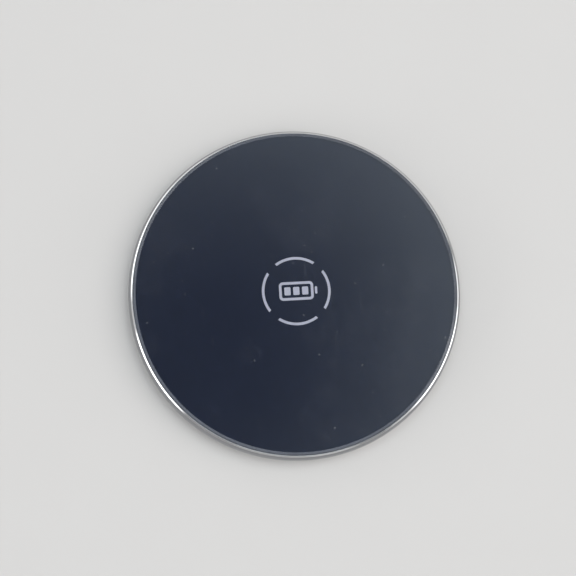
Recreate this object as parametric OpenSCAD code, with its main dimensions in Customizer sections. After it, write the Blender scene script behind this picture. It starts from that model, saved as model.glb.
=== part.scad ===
// Round wireless charging pad with a metal rim, a clear plate over a dark film,
// a flat coil on ferrite, a curved circuit board and a USB-C inlet in its side.
// The origin is at the middle of the face that the feet stand on, +Z is up and the inlet faces +Y.

/* [Overall] */
// Diameter across the metal rim
pad_d = 100; // [98:1:140]
// Clear height over the circuit board for its parts
parts_h = 1.95; // [1.7:0.05:6]

/* [Top plate] */
// Thickness of the clear plate
plate_t = 2; // [1.4:0.1:4]
// Width of the bevel round the plate's top edge
bevel_w = 0.9; // [0.6:0.1:1.6]
// Height of that bevel
bevel_h = 0.5; // [0.2:0.1:0.8]
// Height of the plate's top above the rim
plate_proud = 0.4; // [0.1:0.05:0.6]
// Thickness of the dark film on the plate's back
film_t = 0.15; // [0.1:0.05:0.4]
// Distance across the printed ring at the plate's middle
mark_d = 20.6; // [16:0.2:30]

/* [Rim] */
// Width of the rim outside the plate
lip_w = 1.55; // [1.55:0.05:3]
// Width of the ledge that the plate rests on
seat_w = 0.4; // [0.3:0.05:1]
// Width of the polished bevel
rim_bevel_w = 0.4; // [0.3:0.05:0.4]
// Height of the polished bevel
rim_bevel_h = 0.28; // [0.2:0.02:0.8]
// How far the rim's side bows out
rim_bulge = 1.1; // [0.3:0.05:1.1]

/* [Shell and base] */
// Thickness of the web under the plate
web_t = 0.8; // [0.6:0.1:2]
// Thickness of the shell's skirt
skirt_t = 1.3; // [1:0.1:2]
// Thickness of the base
base_t = 1.4; // [1.3:0.1:3]
// Thickness of the base's flange under the rim
flange_t = 0.4; // [0.3:0.1:0.8]
// Diameter of a rubber foot
foot_d = 9; // [6:0.5:12]
// How far a foot stands out of the base
foot_out = 0.5; // [0.3:0.1:1.5]
// Depth of a foot's pocket
foot_pocket = 0.7; // [0.4:0.1:0.8]

/* [Coil] */
// Diameter of the stranded wire
wire_d = 1.05; // [0.8:0.05:1.3]
// Number of turns
turns = 10; // [6:1:11]
// Inside diameter of the winding
coil_in_d = 20.5; // [18:0.5:24]
// Thickness of the ferrite
ferrite_t = 1; // [0.6:0.1:1.3]
// Thickness of the tape between coil and ferrite
tape_t = 0.1; // [0.05:0.05:0.2]

/* [Circuit board] */
// Thickness of the board
board_t = 0.8; // [0.6:0.1:1]
// Gap between the board and the base's floor
board_gap = 0.4; // [0.3:0.05:1]
// Part of a circle that the board takes
board_sweep = 200; // [190:5:230]

/* [Inlet] */
// Width of the inlet's metal shell
usb_w = 8.94; // [8:0.02:11]
// Height of the inlet's metal shell
usb_h = 3.26; // [3:0.02:4.2]
// Depth of the inlet
usb_depth = 7.4; // [6.5:0.1:10]
// Diameter of the light pipe
pipe_d = 1.6; // [1:0.1:2]

/* [Hidden] */

round_fn = 96;
small_fn = 32;
eps = 0.05;     // how far a cut runs past a face
gap = 0.1;      // clearance of a fixed fit
slip = 0.2;     // clearance of a loose fit

// Radii, from the outside in
rim_r = pad_d / 2;
seat_r = rim_r - lip_w;
plate_r = seat_r - gap;
bore_r = plate_r - seat_w;
film_r = bore_r - gap;
skirt_r = film_r;
skirt_in_r = skirt_r - skirt_t;
board_edge_gap = 1;
board_r = skirt_in_r - board_edge_gap;
flange_in = 0.35;       // base's flange in from the rim's foot
flange_chamfer = 0.3;

// Clear height inside: what the board's parts, the winding's stack or the inlet needs most
web_skin = 0.45;        // left of the web above the inlet and above a screw hole
usb_lift = 0.1;         // inlet above the base's floor
under_ferrite = 0.6;    // room under the ferrite for the thermistor's wires
board_stack = board_gap + board_t;
inner_h = max(
    board_stack + parts_h,
    board_stack + under_ferrite + ferrite_t + tape_t + wire_d - web_t,
    usb_lift + usb_h + gap + web_skin - web_t
);

// Heights, from the feet up
base_z = foot_out;
flange_z = base_z + flange_t;
floor_z = base_z + base_t;
web_z = floor_z + inner_h;
film_z = web_z + web_t;
plate_z = film_z + film_t;
top_z = plate_z + plate_t;
rim_z = top_z - plate_proud;
board_z = floor_z + board_gap;
board_top = board_z + board_t;

// Printed battery sign in a broken ring: ink let into the film
mark_t = 0.05;
mark_line = mark_d * 0.038;
mark_gap = mark_d * 0.17;
battery = [mark_d * 0.5, mark_d * 0.27];
bars = 3;

// Winding: half turns about two centres, half a pitch apart
pitch = wire_d + 0.13;  // the stranded wire's sleeve keeps the turns this far apart
wire_r = wire_d / 2;
turn_r = coil_in_d / 2 + wire_r;
coil_r = turn_r + turns * pitch;
coil_z = film_z - wire_r;
tape_z = film_z - wire_d - tape_t;
ferrite_z = tape_z - ferrite_t;
ferrite_edge = 2.4;     // ferrite past the winding
collar_t = 1.2;
ferrite_r = coil_r + wire_r + ferrite_edge;
collar_in_r = ferrite_r + slip;
collar_r = collar_in_r + collar_t;
board_hole_gap = 1.1;
board_in_r = collar_r + board_hole_gap;
tape_out = 1;           // tape past the winding's outside
tape_in = 0.4;          // tape past the winding's inside
foam_in_r = 7;
foam_inset = 5;         // foam in from the ferrite's edge

// The two wires from the winding to the board: [x, y of the drop through the tape]
inner_drop = [wire_d, turn_r];
outer_drop = [-1.8 * wire_d, coil_r];
lead_z = tape_z - wire_r;
pad_inset = 1.6;        // solder pads out from the board's inner edge
pad_y = board_in_r + pad_inset;
solder_out = 0.4;       // most that solder reaches past its wire
gate_run = 1;           // how far the collar's gate is cut past it

// Thermistor and its wires
bead_r = 0.9;
bead_z = film_z - bead_r;
fine_r = 0.16;
fine_drop = 0.06;       // fine wires below the ferrite
fine_z = ferrite_z - fine_r - fine_drop;
fine_gap = 1.1;
fine_turn = -25;
bead_hole_r = bead_r + slip;

// Inlet, standing through the board's edge
usb_wall = 0.3;
usb_z = floor_z + usb_lift + usb_h / 2;
usb_mouth_inset = 0.25; // mouth in from the rim's side
usb_back_t = 1;
usb_room = 0.8;         // room in the shell behind the inlet
usb_mouth_y = sqrt(pow(rim_r, 2) - pow(usb_w / 2, 2)) - usb_mouth_inset;
usb_back_y = usb_mouth_y - usb_depth;
tongue_w = usb_w - 2.25;
tongue_t = 0.7;
tongue_root = 1.2;      // moulding in front of the inlet's back
tongue_fit = 0.02;
tongue_inset = 0.8;     // tongue's tip in from the mouth
contacts = 12;          // on each face of the tongue
contact_w = 0.26;
contact_t = 0.06;
contact_start = 2.4;
contact_inset = 1.4;    // contacts' ends in from the mouth
contact_margin = 0.7;   // of the tongue's width that bears none

// Indicator beside the inlet
led_turn = 79;
led_size = [0.8, 1.6, 0.8];
led_r = board_r - led_size[0] / 2;
pipe_z = board_top + led_size[2] / 2;
pipe_start = board_r + gap;
pipe_end = rim_r - gap;

// Screws
base_screw_turns = [30, 150, 270];
base_screw_d = 2;
base_head_d = 3.8;
base_head_h = 0.8;
base_boss_r = 2.6;
boss_overlap = 0.4;     // how far a boss runs into the skirt
base_screw_r = skirt_in_r - base_boss_r + boss_overlap;
base_screw_l = 3.4;
board_screw_turns = [4, 90, 176];
board_screw_d = 1.4;
board_head_d = 2.6;
board_head_h = 0.8;
board_boss_r = 1.9;
board_screw_r = (board_in_r + board_r) / 2;
board_screw_l = 2.2;
recess_w = 0.4;         // width of a slot of the cross recess
recess_share = 0.6;     // its length as a share of the head

// Feet
foot_turns = [45, 135, 225, 315];
foot_inset = 14;        // a foot's middle in from the rim's side
foot_r = rim_r - foot_inset;
foot_chamfer = [0.4, 0.3];

// The board's parts: length away from the pad's middle, width and height
controller_size = [6, 6, 0.85];
protocol_size = [1.6, 2.9, 1.1];
switch_size = [3.3, 3.3, 0.8];
large_capacitor = [3.2, 1.6, 1.25];
middle_capacitor = [2, 1.25, 1.25];
small_capacitor = [1.6, 0.8, 0.8];
resistor_size = [3.2, 1.6, 0.6];
inductor_size = [4.2, 4.2, 1.6];
inductor_dent_r = 1.2;
inductor_dent = 0.1;

module turned(a, r = 0) {
    rotate([0, 0, a])
        translate([r, 0, 0])
            children();
}

module ring(outer, inner, z, h) {
    translate([0, 0, z])
        difference() {
            cylinder(r = outer, h = h, $fn = round_fn);
            translate([0, 0, -eps])
                cylinder(r = inner, h = h + 2 * eps, $fn = round_fn);
        }
}

module disc(r, z0, z1) {
    translate([0, 0, z0])
        cylinder(r = r, h = z1 - z0, $fn = round_fn);
}

module rod(r, z0, z1) {
    translate([0, 0, z0])
        cylinder(r = r, h = z1 - z0, $fn = small_fn);
}

// A block that stands on z = 0 with its middle over the origin
module chip(size) {
    translate([-size[0] / 2, -size[1] / 2, 0])
        cube(size);
}

// Flat oval, w wide and h high, along +Y from y0 to y1 at the inlet's height
module oval_bar(w, h, y0, y1) {
    translate([0, y1, usb_z])
        rotate([90, 0, 0])
            linear_extrude(y1 - y0) {
                square([w - h, h], center = true);
                for (side = [-1, 1])
                    translate([side * (w - h) / 2, 0])
                        circle(d = h, $fn = small_fn);
            }
}

// Straight wire from a to b with a ball at b, so that the next length turns there
module wire(a, b, r) {
    run = b - a;
    length = norm(run);
    translate(a)
        rotate([0, acos(run[2] / length), atan2(run[1], run[0])])
            cylinder(r = r, h = length, $fn = small_fn);
    translate(b)
        sphere(r = r, $fn = small_fn);
}

module top_plate() {
    color("#3a404c")
        translate([0, 0, plate_z])
            rotate_extrude($fn = round_fn)
                polygon([
                    [0, 0], [plate_r, 0], [plate_r, plate_t - bevel_h],
                    [plate_r - bevel_w, plate_t], [0, plate_t]
                ]);
}

// Flat shape with rounded corners about the origin
module rounded_rectangle(size, r) {
    square([size[0] - 2 * r, size[1]], center = true);
    square([size[0], size[1] - 2 * r], center = true);
    for (x = [-1, 1])
        for (y = [-1, 1])
            translate([x * (size[0] / 2 - r), y * (size[1] / 2 - r)])
                circle(r = r, $fn = small_fn);
}

module battery_sign() {
    inside = [battery[0] - 2 * mark_line, battery[1] - 2 * mark_line];
    bar_pitch = (inside[0] - mark_line) / bars;
    difference() {
        rounded_rectangle(battery, 1.5 * mark_line);
        rounded_rectangle(inside, 0.6 * mark_line);
    }
    translate([battery[0] / 2 + mark_line, 0])
        rounded_rectangle([0.9 * mark_line, 0.4 * battery[1]], 0.4 * mark_line);
    for (i = [0:bars - 1])
        translate([(i - (bars - 1) / 2) * bar_pitch, 0])
            rounded_rectangle([bar_pitch - mark_line, inside[1] - 2 * mark_line], 0.4 * mark_line);
}

module broken_ring() {
    difference() {
        circle(d = mark_d, $fn = round_fn);
        circle(d = mark_d - 2 * mark_line, $fn = round_fn);
        for (a = [45, 135])
            rotate([0, 0, a])
                square([2 * mark_d, mark_gap], center = true);
    }
}

module ink(height) {
    translate([0, 0, plate_z - mark_t])
        linear_extrude(height) {
            battery_sign();
            broken_ring();
        }
}

module printed_mark() {
    color("#d6d6e6")
        ink(mark_t);
}

module backing_film() {
    color("#232a38")
        difference() {
            disc(film_r, film_z, plate_z);
            ink(mark_t + eps);
        }
}

// Section of the rim: a bowed side, a polished bevel and the seat for the plate
module rim_section() {
    side_h = (rim_z - rim_bevel_h - flange_z) / 2;
    bow_r = (pow(side_h, 2) + pow(rim_bulge, 2)) / (2 * rim_bulge);
    bevel_foot = rim_r - rim_bulge;
    difference() {
        intersection() {
            translate([bore_r, flange_z])
                square([rim_r - bore_r, rim_z - flange_z]);
            translate([rim_r - bow_r, flange_z + side_h])
                circle(r = bow_r, $fn = 4 * round_fn);
        }
        polygon([
            [bevel_foot, rim_z - rim_bevel_h], [bevel_foot + lip_w, rim_z - rim_bevel_h],
            [bevel_foot + lip_w, rim_z + eps], [bevel_foot - rim_bevel_w, rim_z + eps],
            [bevel_foot - rim_bevel_w, rim_z]
        ]);
        translate([bore_r - eps, plate_z])
            square([seat_r - bore_r + eps, plate_t]);
    }
}

module rim_ring() {
    color("#c9ccd2")
        difference() {
            rotate_extrude($fn = round_fn)
                rim_section();
            oval_bar(usb_w + 2 * slip, usb_h + 2 * slip, usb_back_y, rim_r + eps);
            pipe_bar(pipe_d / 2 + gap / 2, skirt_r - eps, rim_r + eps);
        }
}

module pipe_bar(r, from, to) {
    turned(led_turn, from)
        translate([0, 0, pipe_z])
            rotate([0, 90, 0])
                cylinder(r = r, h = to - from, $fn = small_fn);
}

module upper_shell() {
    color("#1d1e21")
        difference() {
            union() {
                ring(skirt_r, collar_in_r, web_z, web_t);
                ring(skirt_r, skirt_in_r, floor_z, inner_h + eps);
                ring(collar_r, collar_in_r, ferrite_z + gap, web_z - ferrite_z);
                for (a = base_screw_turns)
                    turned(a, base_screw_r)
                        rod(base_boss_r, floor_z, web_z + eps);
                for (a = board_screw_turns)
                    turned(a, board_screw_r)
                        rod(board_boss_r, board_top, web_z + eps);
            }
            for (a = base_screw_turns)
                turned(a, base_screw_r)
                    rod(base_screw_d / 2, floor_z - eps, film_z - web_skin);
            for (a = board_screw_turns)
                turned(a, board_screw_r)
                    rod(board_screw_d / 2, board_top - eps, film_z - web_skin);
            oval_bar(usb_w + 2 * gap, usb_h + 2 * gap, usb_back_y - usb_room, rim_r);
            pipe_bar(pipe_d / 2 + gap / 2, skirt_in_r - eps, rim_r);
            // Gate in the collar for the winding's wires
            translate([outer_drop[0] - wire_d, collar_in_r - gate_run, ferrite_z])
                cube([
                    inner_drop[0] - outer_drop[0] + 2 * wire_d, collar_t + 2 * gate_run,
                    tape_z + gap - ferrite_z
                ]);
        }
}

module base_cover() {
    flange_r = rim_r - rim_bulge - flange_in;
    color("#26272a")
        difference() {
            union() {
                disc(bore_r - slip, base_z, floor_z);
                rotate_extrude($fn = round_fn)
                    polygon([
                        [0, base_z], [flange_r - flange_chamfer, base_z],
                        [flange_r, base_z + flange_chamfer],
                        [flange_r, flange_z], [0, flange_z]
                    ]);
            }
            for (a = base_screw_turns)
                turned(a, base_screw_r) {
                    rod(base_screw_d / 2 + gap, base_z - eps, floor_z + eps);
                    rod(base_head_d / 2 + gap, base_z - eps, base_z + base_head_h);
                }
            for (a = board_screw_turns)
                turned(a, board_screw_r)
                    rod(board_head_d / 2 + slip, board_z - board_head_h - gap, floor_z + eps);
            for (a = foot_turns)
                turned(a, foot_r)
                    rod(foot_d / 2 + gap / 2, base_z - eps, base_z + foot_pocket);
        }
}

module charging_coil() {
    color("#b87333")
        translate([0, 0, coil_z])
            for (half = [0:2 * turns - 1])
                translate([0, half % 2 * pitch / 2, 0])
                    rotate([0, 0, 90 + half % 2 * 180])
                        rotate_extrude(angle = 180, $fn = round_fn)
                            translate([turn_r + half * pitch / 2, 0])
                                circle(r = wire_r, $fn = small_fn);
}

// Each wire leaves the winding, drops through the tape, runs out under it and drops to the board
module coil_leads() {
    color("#b87333")
        for (drop = [inner_drop, outer_drop]) {
            at_coil = [0, drop[1], coil_z];
            over = [drop[0], drop[1], coil_z];
            under = [drop[0], drop[1], lead_z];
            out = [drop[0], pad_y, lead_z];
            landed = [drop[0], pad_y, board_top + wire_r];
            wire(at_coil, over, wire_r);
            wire(over, under, wire_r);
            wire(under, out, wire_r);
            wire(out, landed, wire_r);
        }
}

module coil_tape() {
    color("#c9a24a")
        difference() {
            ring(coil_r + wire_r + tape_out, turn_r - wire_r - tape_in, tape_z, tape_t);
            for (drop = [inner_drop, outer_drop])
                translate([drop[0], drop[1], 0])
                    rod(wire_r + gap, tape_z - eps, tape_z + tape_t + eps);
        }
}

module ferrite_shield() {
    color("#3b3a3c")
        difference() {
            ring(ferrite_r, bead_hole_r, ferrite_z, ferrite_t);
            for (drop = [inner_drop, outer_drop])
                translate([drop[0], drop[1], 0]) {
                    rod(wire_r + gap, ferrite_z - eps, tape_z + eps);
                    translate([-wire_r - gap, 0, ferrite_z - eps])
                        cube([wire_d + 2 * gap, ferrite_r, ferrite_t + 2 * eps]);
                }
        }
}

// Foam ring that presses the ferrite up, split for the thermistor's wires
module foam_pad() {
    color("#55565a")
        difference() {
            ring(ferrite_r - foam_inset, foam_in_r, floor_z, ferrite_z - floor_z);
            turned(90 + fine_turn)
                translate([0, -fine_gap, floor_z - eps])
                    cube([ferrite_r, 2 * fine_gap, ferrite_z - floor_z + 2 * eps]);
            for (drop = [inner_drop, outer_drop])
                translate([drop[0] - wire_r - gap, drop[1] - wire_d, lead_z - wire_r - gap])
                    cube([wire_d + 2 * gap, ferrite_r, wire_d]);
        }
}

module thermistor() {
    color("#30508c") {
        translate([0, 0, bead_z])
            sphere(r = bead_r, $fn = small_fn);
        turned(90 + fine_turn)
            for (side = [-1, 1]) {
                y = side * fine_gap / 2;
                wire([0, y, bead_z], [0, y, fine_z], fine_r);
                wire([0, y, fine_z], [pad_y, y, fine_z], fine_r);
                wire([pad_y, y, fine_z], [pad_y, y, board_top + fine_r], fine_r);
            }
    }
}

module circuit_board() {
    spread = (board_sweep - 180) / 2;
    color("#1c5a3a")
        difference() {
            ring(board_r, board_in_r, board_z, board_t);
            // The part of the circle that the board leaves out
            for (side = [0, 1])
                mirror([side, 0, 0])
                    rotate([0, 0, -spread])
                        translate([0, -rim_r, board_z - eps])
                            cube([rim_r, rim_r, board_t + 2 * eps]);
            for (a = base_screw_turns)
                turned(a, base_screw_r)
                    rod(base_boss_r + slip, board_z - eps, board_top + eps);
            for (a = board_screw_turns)
                turned(a, board_screw_r)
                    rod(board_screw_d / 2 + gap, board_z - eps, board_top + eps);
            translate([-usb_w / 2 - slip, usb_back_y - slip, board_z - eps])
                cube([usb_w + 2 * slip, rim_r, board_t + 2 * eps]);
        }
}

// Solder round a wire that stands on the board and turns away at height turn_z
module solder_dome(r, turn_z) {
    dome_r = r + min(solder_out, 1.5 * r);
    dome_h = min(dome_r, turn_z - r - gap - board_top);
    difference() {
        intersection() {
            translate([0, 0, board_top])
                sphere(r = dome_r, $fn = small_fn);
            rod(2 * dome_r, board_top, board_top + dome_h);
        }
        translate([0, 0, board_top + r])
            sphere(r = r, $fn = small_fn);
        rod(r, board_top + r, board_top + r + dome_r);
    }
}

module solder_joints() {
    color("#c8c9cc") {
        for (drop = [inner_drop, outer_drop])
            translate([drop[0], pad_y, 0])
                solder_dome(wire_r, lead_z);
        turned(90 + fine_turn)
            for (side = [-1, 1])
                translate([pad_y, side * fine_gap / 2, 0])
                    solder_dome(fine_r, fine_z);
    }
}

// Stands children on the board at angle a, at a distance in from its outer edge
module from_rim(a, inset) {
    turned(a, board_r - inset)
        translate([0, 0, board_top])
            children();
}

// Stands children on the board at angle a, at a distance out from its inner edge
module from_coil(a, inset) {
    turned(a, board_in_r + inset)
        translate([0, 0, board_top])
            children();
}

module controller_chip() {
    color("#202124")
        from_coil(a = 48, inset = 6.5)
            chip(controller_size);
}

module protocol_chip() {
    color("#202124")
        from_rim(a = 106, inset = 3.5)
            chip(protocol_size);
}

module power_switches() {
    color("#202124")
        for (a = [118, 126])
            from_coil(a, inset = 10)
                chip(switch_size);
}

module resonant_capacitors() {
    color("#a98b62")
        for (step = [0:3])
            from_coil(a = 102 + 6 * step, inset = 4.2)
                chip(large_capacitor);
}

module decoupling_capacitors() {
    color("#b59a72") {
        for (step = [0:4])
            from_coil(a = 38 + 4 * step, inset = 12.4)
                chip(small_capacitor);
        for (a = [66, 70])
            from_rim(a, inset = 6)
                chip(middle_capacitor);
        for (a = [130, 134])
            from_coil(a, inset = 5)
                chip(middle_capacitor);
    }
}

module sense_resistors() {
    color("#222222")
        for (a = [140, 144])
            from_coil(a, inset = 9)
                chip(resistor_size);
}

module filter_inductor() {
    color("#4a4a4e")
        from_rim(a = 134, inset = 4)
            difference() {
                chip(inductor_size);
                rod(inductor_dent_r, inductor_size[2] - inductor_dent, inductor_size[2] + eps);
            }
}

module indicator_leds() {
    color("#e8e6d8")
        turned(led_turn, led_r)
            translate([0, 0, board_top])
                chip(led_size);
}

module light_pipe() {
    color("#e6ecef")
        pipe_bar(pipe_d / 2, pipe_start, pipe_end);
}

module usb_shell() {
    color("#b8bbc0")
        difference() {
            oval_bar(usb_w, usb_h, usb_back_y, usb_mouth_y);
            oval_bar(
                usb_w - 2 * usb_wall, usb_h - 2 * usb_wall,
                usb_back_y + usb_back_t, usb_mouth_y + eps
            );
        }
}

// Black moulding that fills the back of the inlet and carries the tongue
module usb_tongue() {
    color("#17181a")
        union() {
            oval_bar(
                usb_w - 2 * usb_wall - tongue_fit, usb_h - 2 * usb_wall - tongue_fit,
                usb_back_y + usb_back_t, usb_back_y + usb_back_t + tongue_root
            );
            translate([-tongue_w / 2, usb_back_y + usb_back_t + gap, usb_z - tongue_t / 2])
                cube([tongue_w, usb_depth - usb_back_t - gap - tongue_inset, tongue_t]);
        }
}

module usb_contacts() {
    contact_pitch = (tongue_w - contact_margin) / contacts;
    color("#d8b25a")
        for (face = [0, 1])
            for (i = [0:contacts - 1])
                translate([
                    (i - (contacts - 1) / 2) * contact_pitch - contact_w / 2,
                    usb_back_y + contact_start,
                    usb_z + (face == 0 ? tongue_t / 2 : -tongue_t / 2 - contact_t)
                ])
                    cube([contact_w, usb_depth - contact_start - contact_inset, contact_t]);
}

// Screw pointing up with a cross recess in its head, its head's top at z
module screw(z, d, length, head_d, head_h) {
    difference() {
        union() {
            rod(head_d / 2, z - head_h, z);
            rod(d / 2, z - eps, z + length);
        }
        for (a = [0, 90])
            rotate([0, 0, a])
                translate([-head_d * recess_share / 2, -recess_w / 2, z - head_h - eps])
                    cube([head_d * recess_share, recess_w, head_h / 2 + eps]);
    }
}

module board_screws() {
    color("#a5a7ab")
        for (a = board_screw_turns)
            turned(a, board_screw_r)
                screw(board_z, board_screw_d, board_screw_l, board_head_d, board_head_h);
}

module base_screws() {
    color("#a5a7ab")
        for (a = base_screw_turns)
            turned(a, base_screw_r)
                screw(
                    base_z + base_head_h, base_screw_d, base_screw_l,
                    base_head_d, base_head_h - gap
                );
}

module rubber_feet() {
    color("#2e2f31")
        for (a = foot_turns)
            turned(a, foot_r)
                rotate_extrude($fn = round_fn)
                    polygon([
                        [0, 0], [foot_d / 2 - foot_chamfer[0], 0], [foot_d / 2, foot_chamfer[1]],
                        [foot_d / 2, base_z + foot_pocket], [0, base_z + foot_pocket]
                    ]);
}

top_plate();
printed_mark();
backing_film();
rim_ring();
upper_shell();
base_cover();
charging_coil();
coil_leads();
coil_tape();
ferrite_shield();
foam_pad();
thermistor();
circuit_board();
solder_joints();
controller_chip();
protocol_chip();
power_switches();
resonant_capacitors();
decoupling_capacitors();
sense_resistors();
filter_inductor();
indicator_leds();
light_pipe();
usb_shell();
usb_tongue();
usb_contacts();
board_screws();
base_screws();
rubber_feet();
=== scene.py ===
import math

import bpy
from mathutils import Matrix, Vector


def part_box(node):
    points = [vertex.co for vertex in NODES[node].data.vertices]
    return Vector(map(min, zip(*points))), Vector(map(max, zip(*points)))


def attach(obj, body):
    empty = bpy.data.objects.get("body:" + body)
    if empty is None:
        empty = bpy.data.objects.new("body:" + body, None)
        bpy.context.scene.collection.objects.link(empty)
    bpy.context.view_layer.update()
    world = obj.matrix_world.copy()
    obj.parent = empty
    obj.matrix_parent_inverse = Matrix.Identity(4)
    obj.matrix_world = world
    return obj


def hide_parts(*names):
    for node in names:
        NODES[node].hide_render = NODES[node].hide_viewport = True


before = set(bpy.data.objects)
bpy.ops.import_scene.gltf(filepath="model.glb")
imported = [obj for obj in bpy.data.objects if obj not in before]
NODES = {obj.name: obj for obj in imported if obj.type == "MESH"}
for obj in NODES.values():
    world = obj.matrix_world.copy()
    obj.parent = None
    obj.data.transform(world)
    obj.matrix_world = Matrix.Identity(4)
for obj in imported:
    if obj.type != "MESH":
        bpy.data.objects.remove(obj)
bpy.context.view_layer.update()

MM = 0.001
PLATE_LOW, PLATE_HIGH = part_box("top_plate")
FILM_LOW, FILM_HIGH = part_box("backing_film")
RIM_LOW, RIM_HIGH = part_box("rim_ring")
BASE_LOW, BASE_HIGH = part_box("base_cover")
FOOT_LOW, FOOT_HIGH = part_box("rubber_feet")
SHELL_LOW, SHELL_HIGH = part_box("usb_shell")
PIPE_LOW, PIPE_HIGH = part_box("light_pipe")

ROUND_STEPS = 288                       # steps of a full turn on plate, film and base
RIM_STEPS = 360
FOOT_STEPS = 64
SMALL_STEPS = 40                        # steps of a full turn on screws and the light pipe
INLET_STEPS = 24                        # steps of an inlet's rounded end
BOW_STEPS = 16                          # steps of the rim's bowed side
WELD = 1e-7                             # points closer than this become one

FIXED_GAP = 0.1 * MM                    # clearance of a fixed fit
LOOSE_GAP = 0.2 * MM                    # clearance of a loose fit
BOND = 0.01 * MM                        # how far bonded pieces sink into each other
THROUGH = 1.0 * MM                      # how far a cutter runs past the face that it cuts
PLATE_BEVEL = (0.9 * MM, 0.5 * MM)      # width and height of the plate's bevel
PLATE_EDGE = 0.10 * MM                  # how far the plate's corners are eased
FILM_EDGE = 0.02 * MM
RIM_BEVEL = (0.4 * MM, 0.28 * MM)       # width and height of the rim's polished bevel
RIM_EDGE = 0.05 * MM
RIM_BULGE = 1.1 * MM                    # how far the rim's side bows out

ACRYLIC_IOR = 1.49
BEVEL_TINT = (0.72, 0.76, 0.86, 1)
BEVEL_HAZE = 0.10                       # share of the bevel that its ground finish clouds
MIRROR_TONE = (0.87, 0.875, 0.885)
# painted shade: the rim's bowed side is darkened to stand in for the shadowed floor next to the pad that
# it reflects
SIDE_PAINTED_SHADE = (0.30, 0.305, 0.32)
FILM_TONE = (0.0142, 0.0190, 0.037)
FILM_PALE = (0.0158, 0.0210, 0.040)


# ---------------------------------------------------------------- mesh tools

def deselect():
    if bpy.context.object and bpy.context.object.mode != "OBJECT":
        bpy.ops.object.mode_set(mode="OBJECT")
    bpy.ops.object.select_all(action="DESELECT")


def choose(piece):
    """Makes this the one selected piece."""
    deselect()
    piece.select_set(True)
    bpy.context.view_layer.objects.active = piece


def edit(piece):
    choose(piece)
    bpy.ops.object.mode_set(mode="EDIT")


def done():
    bpy.ops.object.mode_set(mode="OBJECT")


def settle(piece):
    """Puts the piece's place into its mesh, so that its object sits at the origin."""
    choose(piece)
    bpy.ops.object.transform_apply(location=True, rotation=True, scale=True)
    return piece


def named(name):
    piece = bpy.context.object
    piece.name = piece.data.name = name
    return settle(piece)


def pick_edges(piece, wanted):
    """Selects the edges whose middle and run the test wants, and leaves edit mode on."""
    edit(piece)
    bpy.ops.mesh.select_mode(type="EDGE")
    bpy.ops.mesh.select_all(action="DESELECT")
    done()
    mesh = piece.data
    for item in mesh.edges:
        a, b = (mesh.vertices[i].co for i in item.vertices)
        item.select = wanted((a + b) / 2, (b - a))
    bpy.ops.object.mode_set(mode="EDIT")


def soften(piece, angle=35):
    """Smooth shading that keeps the broad faces flat and turns only in the rounded edges."""
    choose(piece)
    bpy.ops.object.shade_smooth_by_angle(angle=math.radians(angle))
    use_modifier(piece, "WEIGHTED_NORMAL", weight=100, keep_sharp=True)


def use_modifier(piece, kind, **settings):
    choose(piece)
    modifier = piece.modifiers.new(kind.title(), kind)
    for key, value in settings.items():
        setattr(modifier, key, value)
    bpy.ops.object.modifier_apply(modifier=modifier.name)


def combine(piece, other, operation):
    """Adds the other piece to this one or takes it away, and then removes the other."""
    use_modifier(piece, "BOOLEAN", object=other, operation=operation, solver="EXACT")
    bpy.data.objects.remove(other)


def cut_away(piece, cutter):
    combine(piece, cutter, "DIFFERENCE")


def round_edges(piece, width, segments=3, angle=40):
    use_modifier(
        piece, "BEVEL", width=width, segments=segments, limit_method="ANGLE",
        angle_limit=math.radians(angle), harden_normals=False
    )


def join(pieces, name):
    deselect()
    for piece in pieces:
        piece.select_set(True)
    bpy.context.view_layer.objects.active = pieces[0]
    bpy.ops.object.join()
    return named(name)


def arc(middle, radius, start, stop, steps):
    """Points (r, z) of an arc, its angles in degrees from the +r direction."""
    turn = [math.radians(start + (stop - start) * i / steps) for i in range(steps + 1)]
    return [(middle[0] + radius * math.cos(t), middle[1] + radius * math.sin(t)) for t in turn]


def rounded(corners, radius, steps=5):
    """The outline through these (r, z) corners with each one but the ends rounded."""
    made = [corners[0]]
    for before, corner, after in zip(corners, corners[1:], corners[2:]):
        at = Vector(corner)
        back, ahead = Vector(before) - at, Vector(after) - at
        reach = min(radius, back.length * 0.45, ahead.length * 0.45)
        start, stop = at + back.normalized() * reach, at + ahead.normalized() * reach
        for i in range(steps + 1):
            t = i / steps
            made.append(tuple(start * (1 - t) ** 2 + at * (2 * t * (1 - t)) + stop * t ** 2))
    return made + [corners[-1]]


def lathe(name, outline, steps=ROUND_STEPS, at=(0, 0), closed=False):
    """Extrudes one vertex along the (r, z) outline and spins it about the upright axis at a point."""
    deselect()
    bpy.ops.mesh.primitive_plane_add(size=MM)
    piece = bpy.context.object
    edit(piece)
    bpy.ops.mesh.select_mode(type="VERT")
    bpy.ops.mesh.select_all(action="SELECT")
    bpy.ops.mesh.merge(type="CENTER")
    last = Vector((outline[0][0] + at[0], at[1], outline[0][1]))
    bpy.ops.transform.translate(value=last)
    for r, z in outline[1:]:
        here = Vector((r + at[0], at[1], z))
        bpy.ops.mesh.extrude_vertices_move(TRANSFORM_OT_translate={"value": here - last})
        last = here
    bpy.ops.mesh.select_all(action="SELECT")
    if closed:
        bpy.ops.mesh.remove_doubles(threshold=WELD)
        bpy.ops.mesh.select_all(action="SELECT")
    bpy.ops.mesh.spin(steps=steps, angle=2 * math.pi, center=(*at, 0), axis=(0, 0, 1))
    bpy.ops.mesh.select_all(action="SELECT")
    bpy.ops.mesh.remove_doubles(threshold=WELD)
    bpy.ops.mesh.normals_make_consistent(inside=False)
    done()
    return named(name)


def bar(middle, size):
    """A plain bar to be cut, rounded or joined further."""
    deselect()
    bpy.ops.mesh.primitive_cube_add(size=1, location=middle)
    bpy.context.object.scale = size
    return settle(bpy.context.object)


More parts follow.
